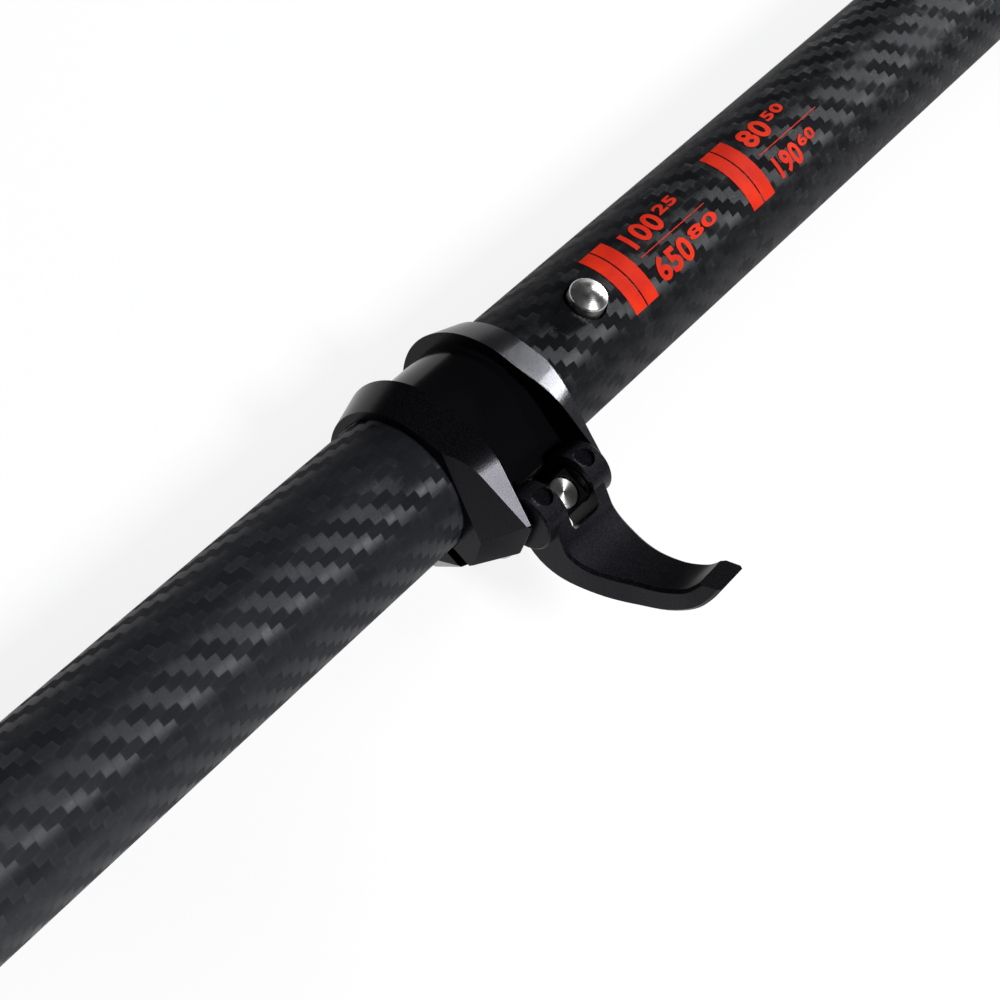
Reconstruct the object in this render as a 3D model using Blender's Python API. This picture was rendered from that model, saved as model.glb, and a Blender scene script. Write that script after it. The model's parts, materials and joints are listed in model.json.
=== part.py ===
# Three-piece paddle for a stand-up paddleboard, lying on the feet of its clamps and on its grip.
# The shaft runs along X with the blade at +X. Every piece is built about the shaft's axis, with x = 0
# at the middle of the lower clamp, and one parent empty then stands the whole paddle on the floor.

import math

import bmesh
import bpy
from mathutils import Vector

MM = 0.001

# Fits: end and running clearances, and the thinner film of a glued or clamped joint
SEAT_GAP = 0.30 * MM
FIT_GAP = 0.20 * MM

# Shaft tubes of woven carbon
TUBE_OD = 29.0 * MM
TUBE_WALL = 1.5 * MM
HANDLE_WALL = 1.4 * MM
MIDDLE_LENGTH = 800.0 * MM
HANDLE_LENGTH = 640.0 * MM
HANDLE_OUT = 330.0 * MM
EDGE_BREAK = 0.35 * MM
CUT_SNAP = 0.0001 * MM
SLOT_WIDTH = 2.0 * MM
SLOT_LENGTH = 18.0 * MM

# Joint between the blade section and the middle section, inside the lower clamp
JOINT_X = -6.0 * MM
FERRULE_WALL = 1.8 * MM
FERRULE_HALF = 70.0 * MM
PLUG_LENGTH = 14.0 * MM
PLUG_INSET = 4.0 * MM

# Snap button and its leaf spring
BUTTON_X = 35.0 * MM
BUTTON_RADIUS = 3.9 * MM
BUTTON_PROUD = 1.9 * MM
BUTTON_CROWN = 1.1 * MM
BUTTON_HOLE_GAP = 0.55 * MM
CROWN_TURNS = (25, 50, 70, 84)
CROWN_FULLNESS = 0.6
BUTTON_FLANGE = 1.5 * MM
BUTTON_FLANGE_THICK = 1.2 * MM
LEAF_WIDTH = 6.0 * MM
LEAF_THICK = 0.6 * MM
LEAF_LENGTH = 38.0 * MM
LEAF_BEND = 3.0 * MM
LEAF_FOLD = math.radians(150.0)
FOLD_STEPS = 6

# Split collar of the clamp; u is the side that the lever faces, v the side of its lugs
CLAMP_TURN = math.radians(13.0)
COLLAR_LENGTH = 31.6 * MM
GROOVE_WIDTH = 16.8 * MM
GROOVE_LEAN = 0.125
SLEEVE_WALL = 1.2 * MM
FLANGE_RISE = 2.6 * MM
FLANGE_DRAFT = 0.115
SPLIT_GAP = 2.6 * MM
SPLIT_OFFSET = 1.2 * MM

# Lugs of the flanges: places and roundings of their corners
CORNER_ROUND = 1.3 * MM
SHOULDER_SHIFT = 5.6 * MM
SHOULDER_ROUND = 14.8 * MM
LUG_TIP_U = 15.7 * MM
LUG_TIP_OUT = 5.0 * MM
LUG_END_U = 8.9 * MM
LUG_END_OUT = 7.1 * MM
FOOT_IN = 0.65 * MM
FOOT_V = 13.8 * MM
FOOT_ROUND = 2.7 * MM

# Flats milled on the lugs: tilt from the shaft, direction round it and how far outside the tube each ends
FLANGE_FLATS = (
    (math.radians(25.2), math.radians(29.6), 0.7 * MM),
    (math.radians(36.4), math.radians(70.9), 4.3 * MM),
    (math.radians(36.4), math.radians(128.0), 1.1 * MM),
)

# Lugs between the flanges, and the slots for the bolt
SADDLE_TURN = math.radians(22.7)
LUG_REACH = 19.3 * MM
BACK_LUG_REACH = 17.9 * MM
BACK_LUG_THICK = 4.2 * MM

# Lever, its barrel nut and the clamp bolt
PIVOT_U = 13.4 * MM
PIVOT_OUT = 4.4 * MM
CAM_RADIUS = 5.7 * MM
CAM_OFFSET = 0.65 * MM
CAM_TURN = math.radians(-98.0)
EAR_SIDE_GAP = 0.35 * MM
LEVER_SWING = math.radians(145.0)
FORK_GAP = 8.1 * MM
FORK_DEPTH = 6.4 * MM
FORK_CORNER = 1.2 * MM
EYE_CAP = 1.6 * MM
BARREL_RADIUS = 3.9 * MM
BARREL_FLAT = 2.1 * MM
BOLT_RADIUS = 3.0 * MM
BOLT_HEAD_RADIUS = 3.4 * MM
BOLT_HEAD_HEIGHT = 3.2 * MM
BOLT_HEAD_EDGE = 0.9 * MM
WASHER_THICK = 0.8 * MM
WASHER_RIM = 0.2 * MM
DIMPLE_RADIUS = 2.0 * MM
DIMPLE_DEPTH = 0.9 * MM
DIMPLE_IN = 0.5 * MM
DIMPLE_TURN = math.radians(-17.0)

# Lever blade, from its root to its tip: middle of the section (u, v from the pivot, lever open),
# thickness and half width
LEVER_SECTIONS = (
    (-0.9 * MM, 1.2 * MM, 10.6 * MM, 7.6 * MM),
    (-2.9 * MM, 5.9 * MM, 9.4 * MM, 7.6 * MM),
    (-2.9 * MM, 10.1 * MM, 7.4 * MM, 7.6 * MM),
    (-1.3 * MM, 14.5 * MM, 6.0 * MM, 7.0 * MM),
    (1.1 * MM, 18.5 * MM, 5.8 * MM, 5.9 * MM),
    (4.4 * MM, 22.1 * MM, 5.5 * MM, 5.0 * MM),
    (8.9 * MM, 25.8 * MM, 5.0 * MM, 4.6 * MM),
    (14.0 * MM, 28.2 * MM, 4.3 * MM, 4.4 * MM),
    (18.2 * MM, 28.7 * MM, 3.8 * MM, 4.0 * MM),
    (22.1 * MM, 28.4 * MM, 3.4 * MM, 3.7 * MM),
)
LEVER_EDGE = 0.6 * MM
LEVER_STEPS = 4
TIP_U = 22.1 * MM
TIP_V = 29.9 * MM
TIP_BEVEL = math.radians(43.3)
TIP_REACH = 6.0 * MM

# Blade
BLADE_START = 230.0 * MM
BLADE_LENGTH = 455.0 * MM
BLADE_WIDTH = 191.0 * MM
NECK_WALL = 1.5 * MM
NECK_LENGTH = 66.0 * MM
SOCKET_DEPTH = 58.0 * MM
BLADE_OFFSET = math.radians(8.0)
BLADE_EDGE = 1.5 * MM
BLADE_SPINE = 1.6 * MM
BLADE_DIHEDRAL = 6.0 * MM
BLADE_FULLNESS = 0.56
BLADE_WIDEST = 0.60
NECK_FADE = 7.0
FACE_FLATNESS = 0.35
OFFSET_CURVE = 1.25
VEE_FADE = 4
TIP_TRIM = 0.2 * MM

# Palm grip
GRIP_SPAN = 112.0 * MM
GRIP_DEPTH = 34.0 * MM
GRIP_ABOVE = 15.5 * MM
GRIP_FLAT = 1.2 * MM
GRIP_SWEEP = 7.0 * MM
GRIP_STEM = 46.0 * MM
GRIP_WALL = 3.2 * MM
GRIP_SOCKET = 40.0 * MM
GRIP_FULLNESS = 0.42
STEM_SPREAD = 0.62
STEM_THINNING = 1.0 * MM

# Facets round each kind of shape, and rings along the lofted ones
TUBE_SIDES = 44
COLLAR_SIDES = 80
SMALL_SIDES = 24
BLADE_SIDES = 28
BLADE_RINGS = 30
GRIP_RINGS = 24
STEM_RINGS = 8
STEM_SIDES = 32

# Sizes that follow
TUBE_R = TUBE_OD / 2
BORE_R = TUBE_R - TUBE_WALL
HANDLE_R = BORE_R - SEAT_GAP
HANDLE_BORE = HANDLE_R - HANDLE_WALL
FERRULE_R = BORE_R - FIT_GAP
FERRULE_BORE = FERRULE_R - FERRULE_WALL
COLLAR_BORE = TUBE_R + FIT_GAP
SLEEVE_R = COLLAR_BORE + SLEEVE_WALL
FLANGE_R = SLEEVE_R + FLANGE_RISE
FOOT_U = FOOT_IN - SLEEVE_R
FLOOR_DROP = FLANGE_R
PIVOT_V = SLEEVE_R + PIVOT_OUT
EAR_WIDTH = GROOVE_WIDTH + 2 * GROOVE_LEAN * (PIVOT_V - CAM_RADIUS - CAM_OFFSET) - 2 * EAR_SIDE_GAP
EYE_RADIUS = BARREL_RADIUS + FIT_GAP
CAM_SWEEP = CAM_RADIUS + CAM_OFFSET + SEAT_GAP
BACK_SEAT = -SPLIT_OFFSET - SPLIT_GAP / 2 - BACK_LUG_THICK
NECK_R = TUBE_R + FIT_GAP + NECK_WALL
MIDDLE_END = JOINT_X - MIDDLE_LENGTH
UPPER_CLAMP_X = MIDDLE_END + COLLAR_LENGTH / 2
GRIP_X = MIDDLE_END - HANDLE_OUT
BLADE_TIP = BLADE_START + BLADE_LENGTH
GRIP_END = GRIP_X - GRIP_STEM + GRIP_SOCKET - GRIP_DEPTH


# Scene and materials
def clear_scene():
    for item in list(bpy.data.objects):
        bpy.data.objects.remove(item, do_unlink=True)


def finish(name, colour, roughness, metallic=0.0):
    made = bpy.data.materials.new(name)
    made.use_nodes = True
    shader = made.node_tree.nodes["Principled BSDF"]
    shader.inputs["Base Color"].default_value = (*colour, 1.0)
    shader.inputs["Roughness"].default_value = roughness
    shader.inputs["Metallic"].default_value = metallic
    made.diffuse_color = (*colour, 1.0)
    return made


# Building blocks
def empty(name, parent=None, location=(0, 0, 0), turn=0.0):
    made = bpy.data.objects.new(name, None)
    made.parent = parent
    made.location = location
    made.rotation_euler.x = turn
    bpy.context.scene.collection.objects.link(made)
    return made


def piece(name, shape, look, parent, location=(0, 0, 0), turn=0.0):
    bmesh.ops.recalc_face_normals(shape, faces=shape.faces)
    mesh = bpy.data.meshes.new(name)
    shape.to_mesh(mesh)
    shape.free()
    mesh.shade_smooth()
    mesh.set_sharp_from_angle(angle=math.radians(32))
    if look:
        mesh.materials.append(look)
    made = bpy.data.objects.new(name, mesh)
    made.parent = parent
    made.location = location
    made.rotation_euler.x = turn
    bpy.context.scene.collection.objects.link(made)
    return made


def boolean(target, name, shape, operation="DIFFERENCE"):
    """Cut a shape from a piece, or join one to it, in the piece's own coordinates."""
    tool = piece(name, shape, None, target.parent, target.location, target.rotation_euler.x)
    tool.hide_render = True
    tool.display_type = "WIRE"
    step = target.modifiers.new(name, "BOOLEAN")
    step.operation = operation
    step.object = tool
    step.solver = "EXACT"


def loft(rings, closed=False):
    """Skin over rings of points; a closed loft runs back to its first ring, others are capped."""
    shape = bmesh.new()
    rows = [[shape.verts.new(point) for point in ring] for ring in rings]
    pairs = list(zip(rows, rows[1:]))
    if closed:
        pairs.append((rows[-1], rows[0]))
    for first, second in pairs:
        count = len(first)
        for i in range(count):
            j = (i + 1) % count
            shape.faces.new((first[i], first[j], second[j], second[i]))
    if not closed:
        shape.faces.new(rows[0])
        shape.faces.new(rows[-1])
    return shape


def ring_x(x, radius, sides, y=0.0, z=0.0):
    turns = [2 * math.pi * i / sides for i in range(sides)]
    return [(x, y - radius * math.sin(a), z + radius * math.cos(a)) for a in turns]


def turned(profile, sides, y=0.0, z=0.0):
    """Solid turned about X from (x, radius) points."""
    return loft([ring_x(x, radius, sides, y, z) for x, radius in profile])


def turned_up(profile, sides):
    """Solid turned about Z from (z, radius) points."""
    turns = [2 * math.pi * i / sides for i in range(sides)]
    rings = [[(r * math.cos(a), r * math.sin(a), z) for a in turns] for z, r in profile]
    return loft(rings)


def sleeve(start, end, outer, inner, sides):
    """Tube about X with broken edges outside."""
    profile = (
        (start, inner),
        (start, outer - EDGE_BREAK),
        (start + EDGE_BREAK, outer),
        (end - EDGE_BREAK, outer),
        (end, outer - EDGE_BREAK),
        (end, inner),
    )
    return loft([ring_x(x, radius, sides) for x, radius in profile], closed=True)


def block(low, high):
    (x0, y0, z0), (x1, y1, z1) = low, high
    lower = [(x0, y0, z0), (x1, y0, z0), (x1, y1, z0), (x0, y1, z0)]
    upper = [(x0, y0, z1), (x1, y0, z1), (x1, y1, z1), (x0, y1, z1)]
    return loft([lower, upper])


def slice_off(shape, point, normal):
    """Mill a flat: drop what lies beyond the plane and close the cut."""
    geometry = shape.verts[:] + shape.edges[:] + shape.faces[:]
    bmesh.ops.bisect_plane(
        shape, geom=geometry, plane_co=point, plane_no=normal, clear_outer=True, dist=CUT_SNAP
    )
    rim = [edge for edge in shape.edges if edge.is_boundary]
    if rim:
        bmesh.ops.edgeloop_fill(shape, edges=rim)


def plug(name, x, radius, look, parent):
    profile = (
        (x, radius - EDGE_BREAK),
        (x + EDGE_BREAK, radius),
        (x + PLUG_LENGTH - EDGE_BREAK, radius),
        (x + PLUG_LENGTH, radius - EDGE_BREAK),
    )
    return piece(name, turned(profile, TUBE_SIDES), look, parent)


# Split collar
def hull(discs):
    """Outline drawn tight round discs (u, v, radius), with one point for each way it faces."""
    points = []
    for i in range(COLLAR_SIDES):
        a = 2 * math.pi * i / COLLAR_SIDES
        nu, nv = math.cos(a), math.sin(a)
        u, v, r = max(discs, key=lambda disc: disc[0] * nu + disc[1] * nv + disc[2])
        points.append((u + r * nu, v + r * nv))
    return points


def outline(x, discs, scale=1.0):
    return [(x, -v * scale, u * scale) for u, v in hull(discs)]


def way(turn):
    """Direction across the shaft at an angle from the lever side towards the lugs."""
    return Vector((0.0, -math.sin(turn), math.cos(turn)))


def flange(side):
    """One end of the collar: a drafted rim drawn out into lugs, with flats milled on the lugs."""
    rim = (
        (0.0, 0.0, FLANGE_R),
        (SHOULDER_SHIFT, SHOULDER_SHIFT, SHOULDER_ROUND),
        (LUG_TIP_U, SLEEVE_R + LUG_TIP_OUT, CORNER_ROUND),
        (LUG_END_U, SLEEVE_R + LUG_END_OUT, CORNER_ROUND),
        (FOOT_U, FOOT_V, FOOT_ROUND),
    )
    inner = side * GROOVE_WIDTH / 2
    outer = side * COLLAR_LENGTH / 2
    shape = loft([outline(inner, rim), outline(outer, rim, 1.0 - FLANGE_DRAFT)])
    slice_off(shape, (inner, 0.0, 0.0), (-side, -GROOVE_LEAN, 0.0))
    for tilt, turn, step in FLANGE_FLATS:
        across = way(turn)
        normal = across * math.sin(tilt) + Vector((side * math.cos(tilt), 0.0, 0.0))
        slice_off(shape, across * (TUBE_R + step) + Vector((outer, 0.0, 0.0)), normal)
    down = -way(-CLAMP_TURN)
    slice_off(shape, down * FLOOR_DROP, down)
    return shape


def open_slot(low, high, radius):
    """Upright slot round the bolt, open outwards."""
    ring = [(radius, -3 * PIVOT_V), (radius, -PIVOT_V)]
    for i in range(1, SMALL_SIDES // 2):
        a = 2 * math.pi * i / SMALL_SIDES
        ring.append((radius * math.cos(a), radius * math.sin(a) - PIVOT_V))
    ring += [(-radius, -PIVOT_V), (-radius, -3 * PIVOT_V)]
    return loft([[(x, y, z) for x, y in ring] for z in (low, high)])


def collar(name, look, clamp):
    beyond = LUG_REACH - SLEEVE_R * math.sin(SADDLE_TURN)
    saddle_u = SLEEVE_R * math.cos(SADDLE_TURN) - beyond * math.tan(SADDLE_TURN)
    middle = (
        (0.0, 0.0, SLEEVE_R),
        (saddle_u - CORNER_ROUND / math.cos(SADDLE_TURN), LUG_REACH, CORNER_ROUND),
        (BACK_SEAT - FIT_GAP + CORNER_ROUND, BACK_LUG_REACH, CORNER_ROUND),
    )
    reach = GROOVE_WIDTH / 2 + GROOVE_LEAN * (LUG_REACH + CORNER_ROUND) + FIT_GAP
    made = piece(name, loft([outline(-reach, middle), outline(reach, middle)]), look, clamp)
    boolean(made, name + "_near_flange", flange(-1), "UNION")
    boolean(made, name + "_far_flange", flange(1), "UNION")
    length = COLLAR_LENGTH
    boolean(made, name + "_bore", turned(((-length, COLLAR_BORE), (length, COLLAR_BORE)), TUBE_SIDES))
    split = -SPLIT_OFFSET
    low = (-length, -2 * PIVOT_V, split - SPLIT_GAP / 2)
    high = (length, -COLLAR_BORE / 2, split + SPLIT_GAP / 2)
    boolean(made, name + "_split", block(low, high))
    seat = EAR_WIDTH / 2 + EAR_SIDE_GAP / 2
    cam_seat = turned(((-seat, CAM_SWEEP), (seat, CAM_SWEEP)), 2 * SMALL_SIDES, -PIVOT_V, PIVOT_U)
    boolean(made, name + "_cam_seat", cam_seat)
    boolean(made, name + "_bolt_slot", open_slot(BACK_SEAT - SEAT_GAP, PIVOT_U, BOLT_RADIUS + SEAT_GAP))
    sink = BOLT_HEAD_RADIUS + WASHER_RIM + SEAT_GAP
    boolean(made, name + "_spot_face", open_slot(-2 * PIVOT_V, BACK_SEAT, sink))
    return made


# Cam lever
def smooth(values, step, steps):
    """Smooth curve through a row of values, at a step counted along it."""
    last = len(values) - 1
    i = min(step // steps, last - 1)
    t = step / steps - i
    a, b, c, d = (values[min(max(k, 0), last)] for k in (i - 1, i, i + 1, i + 2))
    return b + (c - a) * t / 2 + (2 * a - 5 * b + 4 * c - d) * t**2 / 2 + (3 * b - 3 * c + d - a) * t**3 / 2


def lever_section(step):
    us, vs, thicks, widths = zip(*LEVER_SECTIONS)
    u, v = smooth(us, step, LEVER_STEPS), smooth(vs, step, LEVER_STEPS)
    half = smooth(thicks, step, LEVER_STEPS) / 2
    wide = smooth(widths, step, LEVER_STEPS)
    last = LEVER_STEPS * (len(LEVER_SECTIONS) - 1)
    before, after = max(step - 1, 0), min(step + 1, last)
    along = Vector((
        smooth(us, after, LEVER_STEPS) - smooth(us, before, LEVER_STEPS),
        smooth(vs, after, LEVER_STEPS) - smooth(vs, before, LEVER_STEPS),
    )).normalized()
    across = Vector((along.y, -along.x))
    edge = LEVER_EDGE
    corners = (
        (wide - edge, half), (wide, half - edge), (wide, edge - half), (wide - edge, -half),
        (edge - wide, -half), (-wide, edge - half), (-wide, half - edge), (edge - wide, half),
    )
    points = []
    for x, up in corners:
        spot = Vector((u, v)) + across * up
        points.append((x, -spot.y, spot.x))
    return points


def lever(name, look, clamp, turn):
    steps = LEVER_STEPS * (len(LEVER_SECTIONS) - 1)
    shape = loft([lever_section(step) for step in range(steps + 1)])
    made = piece(name, shape, look, clamp, (0.0, -PIVOT_V, PIVOT_U), turn)
    out = Vector((0.0, math.cos(TIP_BEVEL), math.sin(TIP_BEVEL)))
    across = Vector((EAR_WIDTH, 0.0, 0.0))
    end = Vector((0.0, -TIP_V, TIP_U)) + TIP_REACH / 2 * way(TIP_BEVEL)
    start = end - 2 * TIP_REACH * way(TIP_BEVEL)
    corners = (start, end, end + TIP_REACH * out, start + TIP_REACH * out)
    rings = [[side + corner for corner in corners] for side in (-across, across)]
    boolean(made, name + "_tip", loft(rings))
    wide = EAR_WIDTH / 2
    cam = (
        (-wide, CAM_RADIUS - EDGE_BREAK),
        (EDGE_BREAK - wide, CAM_RADIUS),
        (wide - EDGE_BREAK, CAM_RADIUS),
        (wide, CAM_RADIUS - EDGE_BREAK),
    )
    centre = way(CAM_TURN) * CAM_OFFSET
    boolean(made, name + "_cam", turned(cam, 2 * SMALL_SIDES, centre.y, centre.z), "UNION")
    half = FORK_GAP / 2
    corner = []
    for i in range(SMALL_SIDES // 4 + 1):
        a = 2 * math.pi * i / SMALL_SIDES
        x = half - FORK_CORNER * (1 - math.cos(a))
        corner.append((x, FORK_CORNER * (1 - math.sin(a)) - FORK_DEPTH))
    ring = [(half, 2 * PIVOT_V)] + corner + [(-x, y) for x, y in reversed(corner)] + [(-half, 2 * PIVOT_V)]
    fork = loft([[(x, y, z) for x, y in ring] for z in (-PIVOT_V, PIVOT_V)])
    boolean(made, name + "_fork", fork)
    eye = turned(((EYE_CAP - wide, EYE_RADIUS), (2 * wide, EYE_RADIUS)), 2 * SMALL_SIDES)
    boolean(made, name + "_eye", eye)
    ear = (wide + half) / 2 - DIMPLE_IN
    for side, end in ((-1, "near"), (1, "far")):
        drill = ((CAM_RADIUS - DIMPLE_DEPTH, DIMPLE_RADIUS), (2 * CAM_RADIUS, DIMPLE_RADIUS))
        dimple = turned_up(drill, SMALL_SIDES)
        for vert in dimple.verts:
            x, y, z = vert.co
            c, s = math.cos(DIMPLE_TURN), math.sin(DIMPLE_TURN)
            vert.co = Vector((x + side * ear, y * c - z * s, y * s + z * c)) + centre
        boolean(made, f"{name}_{end}_dimple", dimple)
    return made


def clamp_set(prefix, x, shaft, looks, swing):
    """Collar, lever, barrel nut, bolt and washer of one quick-release clamp."""
    clamp = empty(prefix + "_clamp", shaft, (x, 0, 0), CLAMP_TURN)
    collar(prefix + "_clamp_collar", looks["collar"], clamp)
    lever(prefix + "_clamp_lever", looks["lever"], clamp, -swing)
    open_end = EAR_WIDTH / 2 - SEAT_GAP
    blind_end = EYE_CAP - open_end
    nut = (
        (blind_end, BARREL_RADIUS - EDGE_BREAK),
        (blind_end + EDGE_BREAK, BARREL_RADIUS),
        (open_end - EDGE_BREAK, BARREL_RADIUS),
        (open_end, BARREL_RADIUS - EDGE_BREAK),
    )
    shape = turned(nut, 2 * SMALL_SIDES)
    barrel = piece(prefix + "_clamp_barrel", shape, looks["barrel"], clamp, (0.0, -PIVOT_V, PIVOT_U))
    flat = BOLT_RADIUS + 2 * SEAT_GAP
    reach = 2 * BARREL_RADIUS
    spot_face = block((-flat, -reach, BARREL_FLAT), (flat, reach, reach))
    boolean(barrel, prefix + "_clamp_barrel_spot_face", spot_face)
    thread = BOLT_RADIUS + FIT_GAP
    cross = turned_up(((-reach, thread), (reach, thread)), SMALL_SIDES)
    boolean(barrel, prefix + "_clamp_barrel_thread", cross)
    seat = BACK_SEAT - SEAT_GAP
    under_head = seat - WASHER_THICK - SEAT_GAP
    bolt = (
        (under_head - BOLT_HEAD_HEIGHT, BOLT_HEAD_RADIUS - BOLT_HEAD_EDGE),
        (under_head - BOLT_HEAD_HEIGHT + BOLT_HEAD_EDGE, BOLT_HEAD_RADIUS),
        (under_head, BOLT_HEAD_RADIUS),
        (under_head, BOLT_RADIUS),
        (PIVOT_U + BARREL_FLAT - EDGE_BREAK, BOLT_RADIUS),
        (PIVOT_U + BARREL_FLAT, BOLT_RADIUS - EDGE_BREAK),
    )
    at_bolt = (0.0, -PIVOT_V, 0.0)
    piece(prefix + "_clamp_bolt", turned_up(bolt, SMALL_SIDES), looks["steel"], clamp, at_bolt)
    ring = (
        (seat - WASHER_THICK, BOLT_RADIUS + FIT_GAP),
        (seat - WASHER_THICK, BOLT_HEAD_RADIUS + WASHER_RIM),
        (seat, BOLT_HEAD_RADIUS + WASHER_RIM),
        (seat, BOLT_RADIUS + FIT_GAP),
    )
    turns = [2 * math.pi * i / SMALL_SIDES for i in range(SMALL_SIDES)]
    rings = [[(r * math.cos(a), r * math.sin(a), z) for a in turns] for z, r in ring]
    piece(prefix + "_clamp_washer", loft(rings, closed=True), looks["steel"], clamp, at_bolt)


# Shaft tubes
def slotted(tube, name, start, end):
    """Saw a slot in the end of a tube, in line with the gap of the clamp round it."""
    centre = -SPLIT_OFFSET
    low = (start, -2 * TUBE_R, centre - SLOT_WIDTH / 2)
    high = (end, 0.0, centre + SLOT_WIDTH / 2)
    slot = block(low, high)
    for vert in slot.verts:
        x, y, z = vert.co
        c, s = math.cos(CLAMP_TURN), math.sin(CLAMP_TURN)
        vert.co = (x, y * c - z * s, y * s + z * c)
    boolean(tube, name, slot)


def shafts(shaft, handle, looks):
    end = BLADE_START + SOCKET_DEPTH
    tube = sleeve(JOINT_X + SEAT_GAP / 2, end, TUBE_R, BORE_R, TUBE_SIDES)
    blade_shaft = piece("blade_shaft", tube, looks["carbon"], shaft)
    hole = BUTTON_RADIUS + BUTTON_HOLE_GAP
    drill = turned_up(((0.0, hole), (2 * TUBE_R, hole)), SMALL_SIDES)
    bmesh.ops.translate(drill, verts=drill.verts, vec=(BUTTON_X, 0.0, 0.0))
    boolean(blade_shaft, "blade_shaft_button_hole", drill)
    slotted(blade_shaft, "blade_shaft_slot", JOINT_X - SLOT_LENGTH, JOINT_X + SLOT_LENGTH)

    tube = sleeve(MIDDLE_END, JOINT_X - SEAT_GAP / 2, TUBE_R, BORE_R, TUBE_SIDES)
    middle_shaft = piece("middle_shaft", tube, looks["carbon"], shaft)
    slotted(middle_shaft, "middle_shaft_slot", MIDDLE_END - SLOT_LENGTH, MIDDLE_END + SLOT_LENGTH)

    tube = sleeve(GRIP_X, GRIP_X + HANDLE_LENGTH, HANDLE_R, HANDLE_BORE, TUBE_SIDES)
    piece("handle_shaft", tube, looks["carbon"], handle)


# Ferrule, snap button and leaf spring
def joint_parts(shaft, looks):
    tube = sleeve(JOINT_X - FERRULE_HALF, JOINT_X + FERRULE_HALF, FERRULE_R, FERRULE_BORE, TUBE_SIDES)
    ferrule = piece("joint_ferrule", tube, looks["glass_fibre"], shaft)
    hole = BUTTON_RADIUS + SEAT_GAP
    drill = turned_up(((0.0, hole), (2 * TUBE_R, hole)), SMALL_SIDES)
    bmesh.ops.translate(drill, verts=drill.verts, vec=(BUTTON_X, 0.0, 0.0))
    boolean(ferrule, "joint_ferrule_button_hole", drill)

    rim = BUTTON_RADIUS + BUTTON_FLANGE
    flange_top = math.sqrt(FERRULE_BORE**2 - rim**2) - SEAT_GAP
    shoulder = TUBE_R + BUTTON_PROUD
    profile = [
        (flange_top - BUTTON_FLANGE_THICK, rim),
        (flange_top, rim),
        (flange_top, BUTTON_RADIUS),
        (shoulder - BUTTON_CROWN, BUTTON_RADIUS),
    ]
    for turn in CROWN_TURNS:
        a = math.radians(turn)
        radius = BUTTON_RADIUS * math.cos(a) ** CROWN_FULLNESS
        profile.append((shoulder + BUTTON_CROWN * math.sin(a), radius))
    button = turned_up(profile, 2 * SMALL_SIDES)
    piece("snap_button", button, looks["steel"], shaft, (BUTTON_X, 0.0, 0.0))

    half = LEAF_WIDTH / 2
    thick = LEAF_THICK / 2
    low = thick + SEAT_GAP - math.sqrt(FERRULE_BORE**2 - half**2)
    top = flange_top - BUTTON_FLANGE_THICK - SEAT_GAP - thick
    bend_x = BUTTON_X - LEAF_LENGTH
    path = [Vector((BUTTON_X + rim, low)), Vector((bend_x, low))]
    for i in range(1, FOLD_STEPS + 1):
        a = -math.pi / 2 - LEAF_FOLD * i / FOLD_STEPS
        path.append(Vector((bend_x + LEAF_BEND * math.cos(a), low + LEAF_BEND + LEAF_BEND * math.sin(a))))
    path.append(Vector((BUTTON_X - rim, top)))
    path.append(Vector((BUTTON_X + rim, top)))
    rings = []
    for i, spot in enumerate(path):
        along = (path[min(i + 1, len(path) - 1)] - path[max(i - 1, 0)]).normalized()
        side = Vector((-along.y, along.x)) * thick
        up, down = spot + side, spot - side
        corners = ((up, -half), (up, half), (down, half), (down, -half))
        rings.append([(corner.x, y, corner.y) for corner, y in corners])
    piece("button_spring", loft(rings), looks["steel"], shaft)

    plug("ferrule_plug", JOINT_X - FERRULE_HALF + PLUG_INSET, FERRULE_BORE - FIT_GAP, looks["foam"], shaft)
    plug("blade_shaft_plug", JOINT_X + FERRULE_HALF + PLUG_INSET, BORE_R - FIT_GAP, looks["foam"], shaft)


# Blade
def blade_section(x):
    """Ring of the blade at x from its neck: a round neck that flattens into a thin, vee-bottomed face."""
    run = max(x - NECK_LENGTH, 0.0) / (BLADE_LENGTH - NECK_LENGTH)
    power = math.log(0.5) / math.log(BLADE_WIDEST)
    spread = max(math.sin(math.pi * run**power), 0.0) ** BLADE_FULLNESS
    wide = NECK_R * (1.0 - run) ** 3 + (BLADE_WIDTH / 2 - NECK_R * (1.0 - BLADE_WIDEST) ** 3) * spread
    thin = math.exp(-NECK_FADE * run)
    half = BLADE_EDGE + BLADE_SPINE * (1.0 - run) + (NECK_R - BLADE_EDGE - BLADE_SPINE) * thin
    rise = math.tan(BLADE_OFFSET) * (BLADE_LENGTH - NECK_LENGTH) * run**OFFSET_CURVE
    vee = BLADE_DIHEDRAL * (1.0 - thin) * (1.0 - run**VEE_FADE)
    ring = []
    for i in range(BLADE_SIDES):
        a = 2 * math.pi * i / BLADE_SIDES
        side = math.cos(a)
        lift = math.copysign(abs(math.sin(a)) ** (1.0 - FACE_FLATNESS * (1.0 - thin)), math.sin(a))
        ring.append((BLADE_START + x, wide * side, rise + half * lift - vee * (1.0 - abs(side))))
    return ring


def blade(shaft, looks):
    stations = [0.0, NECK_LENGTH * 0.5]
    for i in range(BLADE_RINGS):
        turn = math.pi / 2 * i / BLADE_RINGS
        stations.append(NECK_LENGTH + (BLADE_LENGTH - NECK_LENGTH) * math.sin(turn))
    stations.append(BLADE_LENGTH - TIP_TRIM)
    made = piece("blade", loft([blade_section(x) for x in stations]), looks["blade"], shaft)
    bore = TUBE_R + FIT_GAP
    reach = BLADE_START + SOCKET_DEPTH + SEAT_GAP
    boolean(made, "blade_socket", turned(((BLADE_START - SOCKET_DEPTH, bore), (reach, bore)), TUBE_SIDES))


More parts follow.
